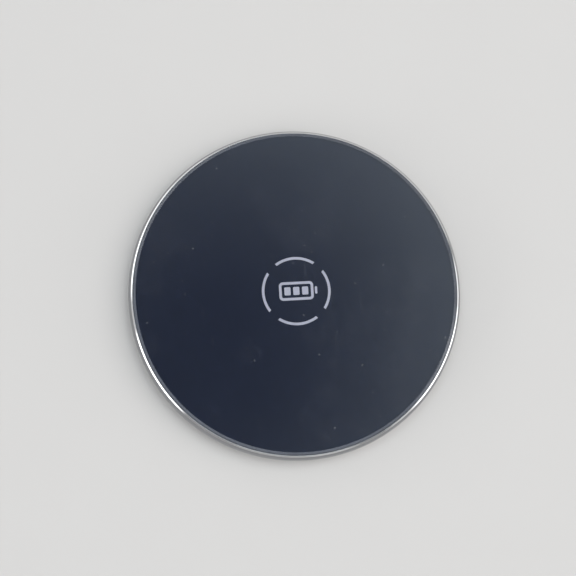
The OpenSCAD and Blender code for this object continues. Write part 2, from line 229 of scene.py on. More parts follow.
def oval_block(width, height, y0, y1, z, segments=14):
    """A bar along Y with an oval section."""
    block = bar((0, (y0 + y1) / 2, z), (width, y1 - y0, height))
    pick_edges(block, lambda middle, run: abs(run.y) > abs(run.x) + abs(run.z))
    bpy.ops.mesh.bevel(offset=height / 2, segments=segments, affect="EDGES")
    bpy.ops.mesh.select_all(action="SELECT")
    bpy.ops.mesh.remove_doubles(threshold=10 * WELD)
    done()
    return block


def copies(piece, turns=(0,), moves=((0, 0, 0),)):
    """Copies turned about the pad's axis, in degrees, or moved by vectors, joined in its place."""
    made = []
    for angle in turns:
        for move in moves:
            twin = piece.copy()
            twin.data = piece.data.copy()
            bpy.context.scene.collection.objects.link(twin)
            twin.rotation_euler = (0, 0, math.radians(angle))
            twin.location = move
            made.append(settle(twin))
    name = piece.name
    bpy.data.objects.remove(piece)
    return join(made, name)


def finish_piece(piece, material, slot, *replaced):
    piece.data.materials.clear()
    piece.data.materials.append(material)
    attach(piece, "root")
    if replaced:
        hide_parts(*replaced)


# ---------------------------------------------------------------- material tools

def start(name):
    """A new material with its node tree, its Principled shader and its object coordinates."""
    material = bpy.data.materials.new(name)
    material.use_nodes = True
    tree = material.node_tree
    shader = tree.nodes["Principled BSDF"]
    place = tree.nodes.new("ShaderNodeTexCoord").outputs["Object"]
    return material, tree, shader, place


def put(tree, socket, value):
    if isinstance(value, bpy.types.NodeSocket):
        tree.links.new(value, socket)
    else:
        socket.default_value = value


def noise(tree, place, scale, detail=3, rough=0.5):
    node = tree.nodes.new("ShaderNodeTexNoise")
    put(tree, node.inputs["Vector"], place)
    node.inputs["Scale"].default_value = scale
    node.inputs["Detail"].default_value = detail
    node.inputs["Roughness"].default_value = rough
    return node.outputs["Fac"]


def stretched(tree, place, scale, turn=(0, 0, 0)):
    node = tree.nodes.new("ShaderNodeMapping")
    put(tree, node.inputs["Vector"], place)
    node.inputs["Scale"].default_value = scale
    node.inputs["Rotation"].default_value = turn
    return node.outputs["Vector"]


def cells(tree, place, scale, feature="F1", random=1):
    node = tree.nodes.new("ShaderNodeTexVoronoi")
    put(tree, node.inputs["Vector"], place)
    node.feature = feature
    node.inputs["Scale"].default_value = scale
    node.inputs["Randomness"].default_value = random
    return node.outputs["Distance"]


def spread(tree, value, low, high, to_low=0, to_high=1):
    """Maps low..high of a value to to_low..to_high and holds it there past both ends."""
    node = tree.nodes.new("ShaderNodeMapRange")
    put(tree, node.inputs["Value"], value)
    limits = {"From Min": low, "From Max": high, "To Min": to_low, "To Max": to_high}
    for socket, number in limits.items():
        node.inputs[socket].default_value = number
    return node.outputs["Result"]


def sums(tree, kind, a, b=0.0):
    """One sum, of the kind that the math node calls it."""
    node = tree.nodes.new("ShaderNodeMath")
    node.operation = kind
    put(tree, node.inputs[0], a)
    put(tree, node.inputs[1], b)
    return node.outputs[0]


def blend(tree, share, a, b):
    """Colour a where share is 0 and b where it is 1."""
    node = tree.nodes.new("ShaderNodeMix")
    node.data_type = "RGBA"
    put(tree, node.inputs[0], share)
    for socket, colour in ((node.inputs[6], a), (node.inputs[7], b)):
        put(tree, socket, colour if isinstance(colour, bpy.types.NodeSocket) else (*colour, 1))
    return node.outputs[2]


def bump(tree, shader, height, depth, strength):
    node = tree.nodes.new("ShaderNodeBump")
    put(tree, node.inputs["Height"], height)
    node.inputs["Distance"].default_value = depth
    node.inputs["Strength"].default_value = strength
    put(tree, shader.inputs["Normal"], node.outputs["Normal"])


def layer(tree, kind, colour, **settings):
    """One plain shader, its colour and the settings of its other sockets."""
    node = tree.nodes.new("ShaderNodeBsdf" + kind)
    node.inputs["Color"].default_value = colour
    for socket, value in settings.items():
        put(tree, node.inputs[socket], value)
    return node.outputs[0]


def mixed(tree, share, first, second):
    """The first shader where share is 0 and the second where it is 1."""
    node = tree.nodes.new("ShaderNodeMixShader")
    put(tree, node.inputs[0], share)
    put(tree, node.inputs[1], first)
    put(tree, node.inputs[2], second)
    return node.outputs[0]


def paint(tree, shader, share, a, b):
    """Gives the shader colour a where share is 0 and b where it is 1."""
    put(tree, shader.inputs["Base Color"], blend(tree, share, a, b))


def moulded(name, colour, grain, rough=0.5, depth=0.02, wear=0.25):
    """Injection-moulded plastic: a fine spark-eroded grain with slight shade changes."""
    material, tree, shader, place = start(name)
    fine = noise(tree, place, grain, 4, 0.65)
    broad = noise(tree, place, grain / 40, 2)
    pale = tuple(min(1, c * (1 + wear) + 0.004) for c in colour)
    paint(tree, shader, spread(tree, broad, 0.35, 0.7), colour, pale)
    put(tree, shader.inputs["Roughness"], spread(tree, fine, 0.3, 0.7, rough - 0.08, rough + 0.12))
    bump(tree, shader, fine, depth * MM, 0.6)
    return material


def metal(name, colour, rough, scale, grain=(1, 1, 1), depth=0.003, tint=0.12):
    """Bare or plated metal with fine tool marks drawn out along one direction."""
    material, tree, shader, place = start(name)
    marks = noise(tree, stretched(tree, place, grain), scale, 3, 0.6)
    dull = tuple(c * (1 - tint) for c in colour)
    paint(tree, shader, spread(tree, marks, 0.35, 0.65), dull, colour)
    shader.inputs["Metallic"].default_value = 1
    put(tree, shader.inputs["Roughness"], spread(tree, marks, 0.3, 0.7, rough * 0.8, rough * 1.25))
    bump(tree, shader, marks, depth * MM, 0.5)
    return material


# ---------------------------------------------------------------- materials

def away_from_axis(tree, place):
    """Distance from the pad's axis, and height."""
    parts = tree.nodes.new("ShaderNodeSeparateXYZ")
    put(tree, parts.inputs[0], place)
    x, y, z = parts.outputs
    squares = sums(tree, "ADD", sums(tree, "MULTIPLY", x, x), sums(tree, "MULTIPLY", y, y))
    return sums(tree, "SQRT", squares), z


def dust_and_scuffs(tree, place):
    """How much of the plate's face is covered: specks in patches, fine hairs and faint smears."""
    speck = spread(tree, cells(tree, place, 480), 0.20, 0.06)
    patchy = spread(tree, noise(tree, place, 60, 2), 0.40, 0.60)
    chosen = spread(tree, noise(tree, place, 560, 0), 0.56, 0.74)
    specks = sums(tree, "MULTIPLY", sums(tree, "MULTIPLY", speck, patchy), chosen)
    hair = noise(tree, stretched(tree, place, (1, 0.16, 1), (0, 0, 0.5)), 800, 1, 0.3)
    hairs = sums(tree, "MULTIPLY", spread(tree, hair, 0.72, 0.84), 0.018)
    smear = sums(tree, "MULTIPLY", spread(tree, noise(tree, place, 45, 4, 0.7), 0.54, 0.80), 0.020)
    faint = sums(tree, "ADD", hairs, smear)
    return sums(tree, "ADD", sums(tree, "MULTIPLY", specks, 0.17), faint)


def bevel_of_plate(tree, shader, haze):
    """Ground bevel: clear acrylic, clouded by its satin finish."""
    shader.inputs["Base Color"].default_value = (0.97, 0.98, 1.0, 1)
    shader.inputs["Transmission Weight"].default_value = 1
    shader.inputs["IOR"].default_value = ACRYLIC_IOR
    put(tree, shader.inputs["Roughness"], spread(tree, haze, 0.35, 0.75, 0.02, 0.12))
    cloud = spread(tree, haze, 0.3, 0.75, BEVEL_HAZE * 0.85, BEVEL_HAZE * 1.2)
    return mixed(tree, cloud, shader.outputs[0], layer(tree, "Diffuse", BEVEL_TINT))


def face_of_plate(tree, place, haze):
    """Polished face: light bends through it, a sheen grows towards the slant, dust lies on it."""
    bent = layer(tree, "Refraction", (0.985, 0.99, 0.995, 1), Roughness=0, IOR=ACRYLIC_IOR)
    gloss = layer(tree, "Glossy", (1, 1, 1, 1), Roughness=spread(tree, haze, 0.35, 0.75, 0.0, 0.03))
    slant = tree.nodes.new("ShaderNodeFresnel")
    slant.inputs["IOR"].default_value = ACRYLIC_IOR
    sheen = spread(tree, slant.outputs[0], 0.042, 1.0)      # the film below gives the rest
    dust = layer(tree, "Diffuse", (0.55, 0.56, 0.58, 1))
    return mixed(tree, dust_and_scuffs(tree, place), mixed(tree, sheen, bent, gloss), dust)


def way_out(tree):
    """Reflections off the film leave through the whole face, bevel too, as through a flat one."""
    within = tree.nodes.new("ShaderNodeNewGeometry").outputs["Backfacing"]
    level = tree.nodes.new("ShaderNodeCombineXYZ")
    put(tree, level.inputs["Z"], spread(tree, within, 0, 1, 1, -1))
    return layer(
        tree, "Refraction", (0.97, 0.98, 0.985, 1), Roughness=0, IOR=ACRYLIC_IOR, Normal=level.outputs[0]
    )


def clear_plate():
    """Clear acrylic bonded to the film: dust and hairline scuffs on its face, a satin-ground bevel."""
    material, tree, shader, place = start("clear_plate")
    away = away_from_axis(tree, place)[0]
    bevel_start = PLATE_HIGH.x - PLATE_BEVEL[0]
    on_bevel = spread(tree, away, bevel_start - 0.02 * MM, bevel_start + 0.03 * MM)
    haze = noise(tree, place, 120, 3, 0.6)
    face = face_of_plate(tree, place, haze)
    outside = mixed(tree, on_bevel, face, bevel_of_plate(tree, shader, haze))
    ray = tree.nodes.new("ShaderNodeLightPath")
    seen = mixed(tree, ray.outputs["Is Glossy Ray"], outside, way_out(tree))
    lit = layer(tree, "Transparent", (0.95, 0.96, 0.97, 1))
    whole = mixed(tree, ray.outputs["Is Shadow Ray"], seen, lit)
    put(tree, tree.nodes["Material Output"].inputs["Surface"], whole)
    return material


def dark_film():
    """Dark blue-grey print on the plate's back, a little uneven."""
    material, tree, shader, place = start("dark_film")
    broad = noise(tree, place, 30, 2)
    paint(tree, shader, spread(tree, broad, 0.35, 0.65), FILM_TONE, FILM_PALE)
    shader.inputs["Roughness"].default_value = 0.04
    shader.inputs["IOR"].default_value = ACRYLIC_IOR
    return material


def polished_rim():
    """Mirror-cut bevel, a bowed side below it painted darker as painted shade for the shadowed floor
    that it reflects, and a dark bonded ledge under the plate.
    """
    material, tree, shader, place = start("polished_rim")
    away, z = away_from_axis(tree, place)
    under_plate = spread(tree, away, PLATE_HIGH.x + 0.9 * FIXED_GAP, PLATE_HIGH.x + 0.4 * FIXED_GAP)
    bevel_foot = RIM_HIGH.z - RIM_BEVEL[1]
    on_side = spread(tree, z, bevel_foot - 0.02 * MM, bevel_foot - 0.12 * MM)
    marks = noise(tree, stretched(tree, place, (1, 1, 40)), 700, 3, 0.6)
    smudge = noise(tree, place, 90, 3, 0.6)
    put(tree, shader.inputs["Metallic"], sums(tree, "SUBTRACT", 1.0, under_plate))
    # painted shade: on_side turns the bowed side's metal colour to the darker side tone, standing in for
    # the shadowed floor it reflects
    paint(tree, shader, under_plate, blend(tree, on_side, MIRROR_TONE, SIDE_PAINTED_SHADE), FILM_TONE)
    duller_side = sums(tree, "MULTIPLY", on_side, 0.12)
    rough = sums(tree, "ADD", spread(tree, smudge, 0.4, 0.8, 0.04, 0.10), duller_side)
    put(tree, shader.inputs["Roughness"], rough)
    bump(tree, shader, marks, 0.0004 * MM, 0.4)
    return material


def mark_print():
    """Pale lilac-white screen print with slightly uneven ink."""
    material, tree, shader, place = start("mark_print")
    ink = noise(tree, place, 3000, 2)
    paint(tree, shader, spread(tree, ink, 0.3, 0.7), (0.60, 0.60, 0.70), (0.66, 0.66, 0.76))
    shader.inputs["Roughness"].default_value = 0.04
    shader.inputs["IOR"].default_value = ACRYLIC_IOR
    return material


def foot_rubber():
    """Soft rubber with a fine leathery skin and dust in it."""
    material, tree, shader, place = start("foot_rubber")
    skin = cells(tree, place, 3200, "DISTANCE_TO_EDGE")
    dust = spread(tree, noise(tree, place, 500, 4, 0.7), 0.55, 0.8)
    paint(tree, shader, dust, (0.022, 0.022, 0.024), (0.075, 0.075, 0.078))
    put(tree, shader.inputs["Roughness"], spread(tree, dust, 0, 1, 0.7, 0.9))
    bump(tree, shader, skin, 0.03 * MM, 0.7)
    return material


def light_pipe_clear():
    """Clear moulding, slightly milky so that its end glows evenly."""
    material, tree, shader, place = start("light_pipe_clear")
    milk = noise(tree, place, 900, 2)
    paint(tree, shader, milk, (0.80, 0.86, 0.88), (0.9, 0.93, 0.94))
    shader.inputs["Transmission Weight"].default_value = 0.6
    shader.inputs["IOR"].default_value = ACRYLIC_IOR
    put(tree, shader.inputs["Roughness"], spread(tree, milk, 0.3, 0.7, 0.12, 0.25))
    return material


def wound_wire():
    """Enamelled strands laid up in a slow twist."""
    material, tree, shader, place = start("copper_wire")
    strands = noise(tree, stretched(tree, place, (1, 1, 0.5)), 5200, 2, 0.5)
    tone = noise(tree, place, 300, 2)
    bright = blend(tree, spread(tree, strands, 0.35, 0.65), (0.30, 0.10, 0.035), (0.80, 0.36, 0.16))
    paint(tree, shader, spread(tree, tone, 0.4, 0.9), bright, (0.55, 0.24, 0.09))
    shader.inputs["Metallic"].default_value = 0.85
    shader.inputs["Coat Weight"].default_value = 0.4
    put(tree, shader.inputs["Roughness"], spread(tree, strands, 0.3, 0.7, 0.45, 0.28))
    bump(tree, shader, strands, 0.04 * MM, 0.8)
    return material


def solder_mask():
    """Green lacquer over a faint pattern of copper runs."""
    material, tree, shader, place = start("board")
    runs = spread(tree, cells(tree, place, 900, "DISTANCE_TO_EDGE", 0.3), 0.05, 0.09)
    paint(tree, shader, runs, (0.010, 0.075, 0.030), (0.016, 0.125, 0.055))
    shader.inputs["Coat Weight"].default_value = 0.6
    put(tree, shader.inputs["Roughness"], spread(tree, noise(tree, place, 400, 2), 0.3, 0.7, 0.25, 0.4))
    bump(tree, shader, runs, 0.02 * MM, 0.4)
    return material


def ferrite_black():
    """Pressed and ground ferrite with small paler chips."""
    material, tree, shader, place = start("ferrite")
    grain = noise(tree, place, 2600, 4, 0.7)
    chips = spread(tree, cells(tree, place, 260), 0.10, 0.05)
    base = blend(tree, spread(tree, grain, 0.35, 0.7), (0.030, 0.029, 0.031), (0.075, 0.073, 0.075))
    paint(tree, shader, sums(tree, "MULTIPLY", chips, 0.5), base, (0.13, 0.13, 0.13))
    shader.inputs["Roughness"].default_value = 0.62
    bump(tree, shader, grain, 0.02 * MM, 0.6)
    return material


def open_foam():
    """Soft open-cell foam."""
    material, tree, shader, place = start("foam")
    pores = cells(tree, place, 1800)
    paint(tree, shader, spread(tree, pores, 0.1, 0.5), (0.02, 0.02, 0.022), (0.12, 0.12, 0.13))
    shader.inputs["Roughness"].default_value = 0.95
    bump(tree, shader, pores, 0.15 * MM, 1.0)
    return material


def amber_tape():
    """Amber insulating tape with long ripples."""
    material, tree, shader, place = start("amber_tape")
    ripple = noise(tree, stretched(tree, place, (1, 6, 1)), 180, 3)
    paint(tree, shader, spread(tree, ripple, 0.3, 0.7), (0.50, 0.22, 0.03), (0.72, 0.38, 0.07))
    shader.inputs["Roughness"].default_value = 0.25
    bump(tree, shader, ripple, 0.03 * MM, 0.5)
    return material


def ceramic_body(name, pale, deep):
    """Fired or moulded part body with a fine grain."""
    material, tree, shader, place = start(name)
    grain = noise(tree, place, 3500, 3, 0.6)
    paint(tree, shader, spread(tree, grain, 0.3, 0.7), deep, pale)
    put(tree, shader.inputs["Roughness"], spread(tree, grain, 0.3, 0.7, 0.35, 0.5))
    bump(tree, shader, grain, 0.01 * MM, 0.4)
    return material


def dipped_resin():
    """Glossy blue resin, dipped and run down."""
    material, tree, shader, place = start("thermistor_bead")
    flow = noise(tree, place, 900, 2)
    paint(tree, shader, flow, (0.015, 0.035, 0.13), (0.03, 0.07, 0.22))
    shader.inputs["Coat Weight"].default_value = 0.7
    put(tree, shader.inputs["Roughness"], spread(tree, flow, 0.3, 0.7, 0.2, 0.35))
    bump(tree, shader, flow, 0.04 * MM, 0.5)
    return material


# ---------------------------------------------------------------- outside pieces

def make_plate():
    """Clear plate, sunk by a hair into the film that it is bonded to."""
    r, low, high = PLATE_HIGH.x, PLATE_LOW.z - BOND, PLATE_HIGH.z
    wide, deep = PLATE_BEVEL
    corners = [(0, high), (r - wide, high), (r, high - deep), (r, low), (0, low)]
    plate = lathe("clear_top_plate", rounded(corners, PLATE_EDGE))
    soften(plate, 50)
    finish_piece(plate, clear_plate(), "clear_plate", "top_plate")


def carried(node):
    """A copy of a CAD node's mesh, free to be worked on."""
    source = NODES[node]
    piece = source.copy()
    piece.data = source.data.copy()
    bpy.context.scene.collection.objects.link(piece)
    return piece


def make_film():
    """Dark film with a pocket that the printed sign fills."""
    r, low, high = FILM_HIGH.x, FILM_LOW.z, FILM_HIGH.z
    film = lathe("dark_backing_film", rounded([(0, high), (r, high), (r, low), (0, low)], FILM_EDGE, 2))
    pocket = carried("printed_mark")
    for vertex in pocket.data.vertices:
        if vertex.co.z > high - BOND:
            vertex.co.z += FIXED_GAP
    cut_away(film, pocket)
    finish_piece(film, dark_film(), "dark_film", "backing_film")


def rim_outline():
    """Section of the rim: seat, polished bevel and bowed side."""
    r, low, high = RIM_HIGH.x, RIM_LOW.z, RIM_HIGH.z
    seat_r, seat_z = PLATE_HIGH.x + FIXED_GAP, PLATE_LOW.z
    bore_r = FILM_HIGH.x + FIXED_GAP
    wide, deep = RIM_BEVEL
    half = (high - deep - low) / 2
    bow = (half ** 2 + RIM_BULGE ** 2) / (2 * RIM_BULGE)
    reach = math.degrees(math.asin(half / bow))
    side = arc((r - bow, low + half), bow, reach, -reach, BOW_STEPS)
    corners = [
        (bore_r, seat_z), (seat_r, seat_z), (seat_r, high), (r - RIM_BULGE - wide, high),
        *side, (bore_r, low), (bore_r, seat_z)
    ]
    return rounded(corners, RIM_EDGE, 3)


def make_rim():
    """Metal rim with a window for the inlet and a bore for the light pipe."""
    rim = lathe("polished_rim_ring", rim_outline(), RIM_STEPS, closed=True)
    width, height = SHELL_HIGH.x - SHELL_LOW.x, SHELL_HIGH.z - SHELL_LOW.z
    middle_z = (SHELL_HIGH.z + SHELL_LOW.z) / 2
    port = oval_block(
        width + 2 * LOOSE_GAP, height + 2 * LOOSE_GAP, SHELL_LOW.y, RIM_HIGH.y + THROUGH, middle_z
    )
    cut_away(rim, port)
    cut_away(rim, pipe_block(FIXED_GAP / 2, 2 * THROUGH))
    soften(rim, 25)
    finish_piece(rim, polished_rim(), "polished_rim", "rim_ring")


PIPE_TURN = math.radians(79)            # the light pipe's direction from the axis, from +X
PIPE_R = (PIPE_HIGH.z - PIPE_LOW.z) / 2
PIPE_LONG = 4.6 * MM
PIPE_DOME = 0.25 * MM


def pipe_block(more_r, more_length):
    """A rod along the light pipe's line."""
    middle = (PIPE_LOW + PIPE_HIGH) / 2
    away = math.hypot(middle.x, middle.y)
    deselect()
    bpy.ops.mesh.primitive_cylinder_add(
        vertices=SMALL_STEPS, radius=PIPE_R + more_r, depth=PIPE_LONG + more_length,
        location=(away * math.cos(PIPE_TURN), away * math.sin(PIPE_TURN), middle.z),
        rotation=(0, math.pi / 2, PIPE_TURN)
    )
    return settle(bpy.context.object)


def make_pipe():
    """Light pipe with a domed end."""
    pipe = pipe_block(0, 0)
    pipe.name = "light_pipe_lens"
    round_edges(pipe, PIPE_DOME, 5)
    soften(pipe, 40)
    finish_piece(pipe, light_pipe_clear(), "light_pipe_clear", "light_pipe")


def make_mark():
    """The printed battery sign, a thin layer of ink let into the film."""
    mark = carried("printed_mark")
    mark.name = mark.data.name = "battery_sign"
    finish_piece(mark, mark_print(), "mark_ink", "printed_mark")


# ---------------------------------------------------------------- inlet

INLET_WALL = 0.3 * MM
INLET_BACK = 1.0 * MM
INLET_EDGE = 0.1 * MM
TONGUE_SIDES = 2.25 * MM        # what the tongue is narrower than the inlet
TONGUE_THICK = 0.7 * MM
TONGUE_ROOT = 1.2 * MM
TONGUE_CORNER = 0.45 * MM       # how far the tip's two corners are cut back
TONGUE_EDGE = 0.1 * MM
CONTACT_SIZE = (0.26 * MM, 0.06 * MM)
CONTACT_EDGE = 0.02 * MM
CONTACTS = 12                   # on each face of the tongue
INLET_Z = (SHELL_LOW.z + SHELL_HIGH.z) / 2
INLET_WIDE = SHELL_HIGH.x - SHELL_LOW.x
INLET_HIGH = SHELL_HIGH.z - SHELL_LOW.z


def make_inlet_shell():
    """Drawn steel shell with a rolled mouth."""
    shell = oval_block(INLET_WIDE, INLET_HIGH, SHELL_LOW.y, SHELL_HIGH.y, INLET_Z, INLET_STEPS)
    hollow = oval_block(
        INLET_WIDE - 2 * INLET_WALL, INLET_HIGH - 2 * INLET_WALL,
        SHELL_LOW.y + INLET_BACK, SHELL_HIGH.y + THROUGH, INLET_Z, INLET_STEPS
    )
    cut_away(shell, hollow)
    shell.name = shell.data.name = "inlet_mouth_shell"
    round_edges(shell, INLET_EDGE, 4, 50)
    soften(shell, 30)
    steel = metal("inlet_steel", (0.62, 0.63, 0.65), 0.2, 1500, (1, 12, 1))
    finish_piece(shell, steel, "inlet_steel", "usb_shell")


def make_tongue():
    """Black moulding at the inlet's back with its thin tongue, rounded at the tip."""
    low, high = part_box("usb_tongue")
    root = oval_block(
        high.x - low.x, high.z - low.z, low.y, low.y + TONGUE_ROOT, INLET_Z, INLET_STEPS
    )
    start_y = low.y + TONGUE_ROOT / 2
    size = (INLET_WIDE - TONGUE_SIDES, high.y - start_y, TONGUE_THICK)
    tongue = bar((0, (start_y + high.y) / 2, INLET_Z), size)
    tip = high.y - 0.1 * MM
    pick_edges(tongue, lambda middle, run: middle.y > tip and abs(run.z) > abs(run.x))
    bpy.ops.mesh.bevel(offset=TONGUE_CORNER, segments=6, affect="EDGES")
    done()
    round_edges(tongue, TONGUE_EDGE, 3, 50)
    combine(root, tongue, "UNION")
    root.name = root.data.name = "inlet_tongue"
    soften(root, 35)
    black = moulded("inlet_plastic", (0.012, 0.012, 0.014), 3000, 0.45, 0.01)
    finish_piece(root, black, "inlet_plastic", "usb_tongue")


def make_contacts():
    """Gold contacts in a row on each face of the tongue."""
    low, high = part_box("usb_contacts")
    wide, thick = CONTACT_SIZE
    pitch = (high.x - low.x - wide) / (CONTACTS - 1)
    sunk = thick + BOND
    top = high.z - sunk / 2
    contact = bar((0, (low.y + high.y) / 2, top), (wide, high.y - low.y, sunk))
    contact.name = "inlet_contacts"
    round_edges(contact, CONTACT_EDGE, 2)
    moves = []
    for i in range(CONTACTS):
        across = (i - (CONTACTS - 1) / 2) * pitch
        moves += [(across, 0, 0), (across, 0, low.z + sunk / 2 - top)]
    contacts = copies(contact, moves=moves)
    soften(contacts, 40)
    gold = metal("gold_contact", (0.90, 0.62, 0.24), 0.2, 3000)
    finish_piece(contacts, gold, "gold_contact", "usb_contacts")


# ---------------------------------------------------------------- base, feet and screws

BASE_EDGE = 0.12 * MM
FLANGE_THICK = 0.4 * MM
FLANGE_CHAMFER = 0.3 * MM
FOOT_POCKET = 0.7 * MM          # depth of a foot's pocket in the base
FOOT_RADIUS = 4.5 * MM
FOOT_BEVEL = (0.38 * MM, 0.32 * MM)     # width and height of the foot's bevel
SOLE_LIP = (1.0 * MM, 1.15 * MM)        # from the foot's side to where its hollow starts and is full
SOLE_HOLLOW = 0.12 * MM
FOOT_EDGE = 0.12 * MM
FOOT_TURNS = (45, 135, 225, 315)
SCREW_EDGE = 0.22 * MM
BASE_SCREW = {"turns": (30, 150, 270), "head_r": 1.9 * MM, "head": 0.7 * MM, "shank_r": 1.0 * MM}
BOARD_SCREW = {"turns": (4, 90, 176), "head_r": 1.3 * MM, "head": 0.8 * MM, "shank_r": 0.7 * MM}
RECESS = (0.6, 0.4 * MM)        # share of the head that the cross takes, and the width of its slots
BASE_SCREW_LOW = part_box("base_screws")[0]
BOARD_SCREW_LOW, BOARD_SCREW_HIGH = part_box("board_screws")
BASE_SCREW_AWAY = -BASE_SCREW_LOW.y - BASE_SCREW["head_r"]
BOARD_SCREW_AWAY = BOARD_SCREW_HIGH.y - BOARD_SCREW["head_r"]


def foot_away():
    """Distance of a foot's middle from the pad's axis."""
    return math.hypot(FOOT_HIGH.x - FOOT_RADIUS, FOOT_HIGH.y - FOOT_RADIUS)


def make_feet():
    """Rubber feet, each with a soft edge and a slightly hollow sole."""
    r, low, high = FOOT_RADIUS, FOOT_LOW.z, FOOT_HIGH.z
    wide, deep = FOOT_BEVEL
    lip, hollow = SOLE_LIP
    outline = [
        (0, high), (r, high), (r, low + deep), (r - wide, low), (r - lip, low),
        (r - hollow, low + SOLE_HOLLOW), (0, low + SOLE_HOLLOW)
    ]
    foot = lathe("rubber_feet_soft", rounded(outline, FOOT_EDGE, 3), FOOT_STEPS, at=(foot_away(), 0))
    feet = copies(foot, FOOT_TURNS)
    soften(feet, 40)
    finish_piece(feet, foot_rubber(), "foot_rubber", "rubber_feet")


def make_base():
    """Moulded base with a soft-edged flange, screw seats and pockets for the feet."""
    low, high, flange_r = BASE_LOW.z, BASE_HIGH.z, BASE_HIGH.x
    disc_r = FILM_HIGH.x + FIXED_GAP - LOOSE_GAP
    corners = [
        (0, high), (disc_r, high), (disc_r, low + FLANGE_THICK), (flange_r, low + FLANGE_THICK),
        (flange_r, low + FLANGE_CHAMFER), (flange_r - FLANGE_CHAMFER, low), (0, low)
    ]
    base = lathe("base_cover_moulded", rounded(corners, BASE_EDGE, 3))
    under, above = low - THROUGH, high + THROUGH
    seat_r, seat_top = BASE_SCREW["head_r"] + FIXED_GAP, low + BASE_SCREW["head"] + FIXED_GAP
    hole_r = BASE_SCREW["shank_r"] + FIXED_GAP
    seat = [
        (0, under), (seat_r, under), (seat_r, seat_top), (hole_r, seat_top), (hole_r, above), (0, above)
    ]
    seats = copies(lathe("seats", seat, SMALL_STEPS, at=(BASE_SCREW_AWAY, 0)), BASE_SCREW["turns"])
    clear_r, clear_z = BOARD_SCREW["head_r"] + LOOSE_GAP, BOARD_SCREW_LOW.z - FIXED_GAP
    over = [(0, clear_z), (clear_r, clear_z), (clear_r, above), (0, above)]
    overs = copies(lathe("overs", over, SMALL_STEPS, at=(BOARD_SCREW_AWAY, 0)), BOARD_SCREW["turns"])
    foot_r, foot_top = FOOT_RADIUS + FIXED_GAP / 2, low + FOOT_POCKET
    pocket = [(0, under), (foot_r, under), (foot_r, foot_top), (0, foot_top)]
    pockets = copies(lathe("pockets", pocket, FOOT_STEPS, at=(foot_away(), 0)), FOOT_TURNS)
    cut_away(base, join([seats, overs, pockets], "cuts"))
    soften(base, 30)
    plastic = moulded("base_plastic", (0.019, 0.020, 0.022), 1100, 0.55, 0.03)
    finish_piece(base, plastic, "base_plastic", "base_cover")


def make_screws(name, node, sizes, away, material):
    """Pan-head screws pointing up, each with a cross recess."""
    low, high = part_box(node)
    head_r, shank_r, under = sizes["head_r"], sizes["shank_r"], low.z + sizes["head"]
    outline = [
        (0, low.z), (head_r, low.z), (head_r, under), (shank_r, under), (shank_r, high.z), (0, high.z)
    ]
    screw = lathe(name, rounded(outline, SCREW_EDGE, 4), SMALL_STEPS, at=(away, 0))
    reach, slot = 2 * head_r * RECESS[0], RECESS[1]
    for size in ((reach, slot, sizes["head"]), (slot, reach, sizes["head"])):
        cut_away(screw, bar((away, 0, low.z), size))
    screws = copies(screw, sizes["turns"])
    soften(screws, 35)
    finish_piece(screws, material, "screw_steel", node)


# ---------------------------------------------------------------- carried-over pieces

def dress(material, *nodes):
    """Gives carried-over nodes their finish."""
    for node in nodes:
        piece = NODES[node]
        if not piece.material_slots:
            piece.data.materials.append(material)
        for slot in piece.material_slots:
            slot.material = material


# ---------------------------------------------------------------- room, light and camera

FLOOR_SIZE = 6.0


def make_floor():
    """Plain pale table top."""
    deselect()
    bpy.ops.mesh.primitive_plane_add(size=FLOOR_SIZE)
    floor = bpy.context.object
    floor.name = "floor"
    material, tree, shader, place = start("pale_floor")
    grain = noise(tree, place, 40, 4)
    paint(tree, shader, grain, (0.614, 0.588, 0.562), (0.626, 0.600, 0.574))
    shader.inputs["Roughness"].default_value = 0.75
    floor.data.materials.append(material)


def make_lamp(name, place, aim, size, watts):
    """Square soft lamp that lights but isn't mirrored: only the room shows in metal and plate."""
    data = bpy.data.lights.new(name, "AREA")
    data.size = size
    data.energy = watts
    lamp = bpy.data.objects.new(name, data)
    lamp.location = place
    lamp.rotation_euler = (Vector(aim) - Vector(place)).to_track_quat("-Z", "Y").to_euler()
    lamp.visible_glossy = False
    lamp.visible_transmission = False
    bpy.context.scene.collection.objects.link(lamp)


# Panels round the table: where each starts, in degrees clockwise from +X, and how bright it is
PANELS = {
    "right window": (0, 1.5),
    "right window, middle": (8, 2.4),
    "front right wall": (38, 0.6),
    "front right corner": (50, 0.25),
    "front wall, right": (66, 0.50),
    "front wall, left": (84, 0.38),
    "front left corner": (114, 0.24),
    "left window, front": (141, 3.2),
    "left post": (174, 0.55),
    "left window": (190, 1.7),
    "left window, back": (215, 1.2),
    "back left wall": (232, 0.75),
    "back wall": (248, 0.50),
    "back right wall": (318, 0.6),
    "back right corner": (338, 0.25),
    "right window, edge": (344, 1.1)
}
PANEL_SEAM = 3.0                # degrees over which one panel fades into the next
BRIGHTEST = 4                   # the brightness that the ramp's white stands for
WALL_TOP = (0.36, 0.42)         # height of direction over which the panels fade into the upper wall
UPPER_WALL = (0.50, 0.50, 0.52)
BACKDROP = (0.60, 0.595, 0.585)
CEILING = (2.05, 2.29, 2.44)
CEILING_SHADE = (0.21, 0.235, 0.29)
SHADE_AT = (-0.02, 0.082)       # where the ceiling's dark patch lies, as its direction's x and y
SHADE_REACH = (0.03, 0.33)      # how far from there it starts to brighten and ends
CEILING_EDGE = (0.42, 0.52)     # how far from there the ceiling fades into the walls


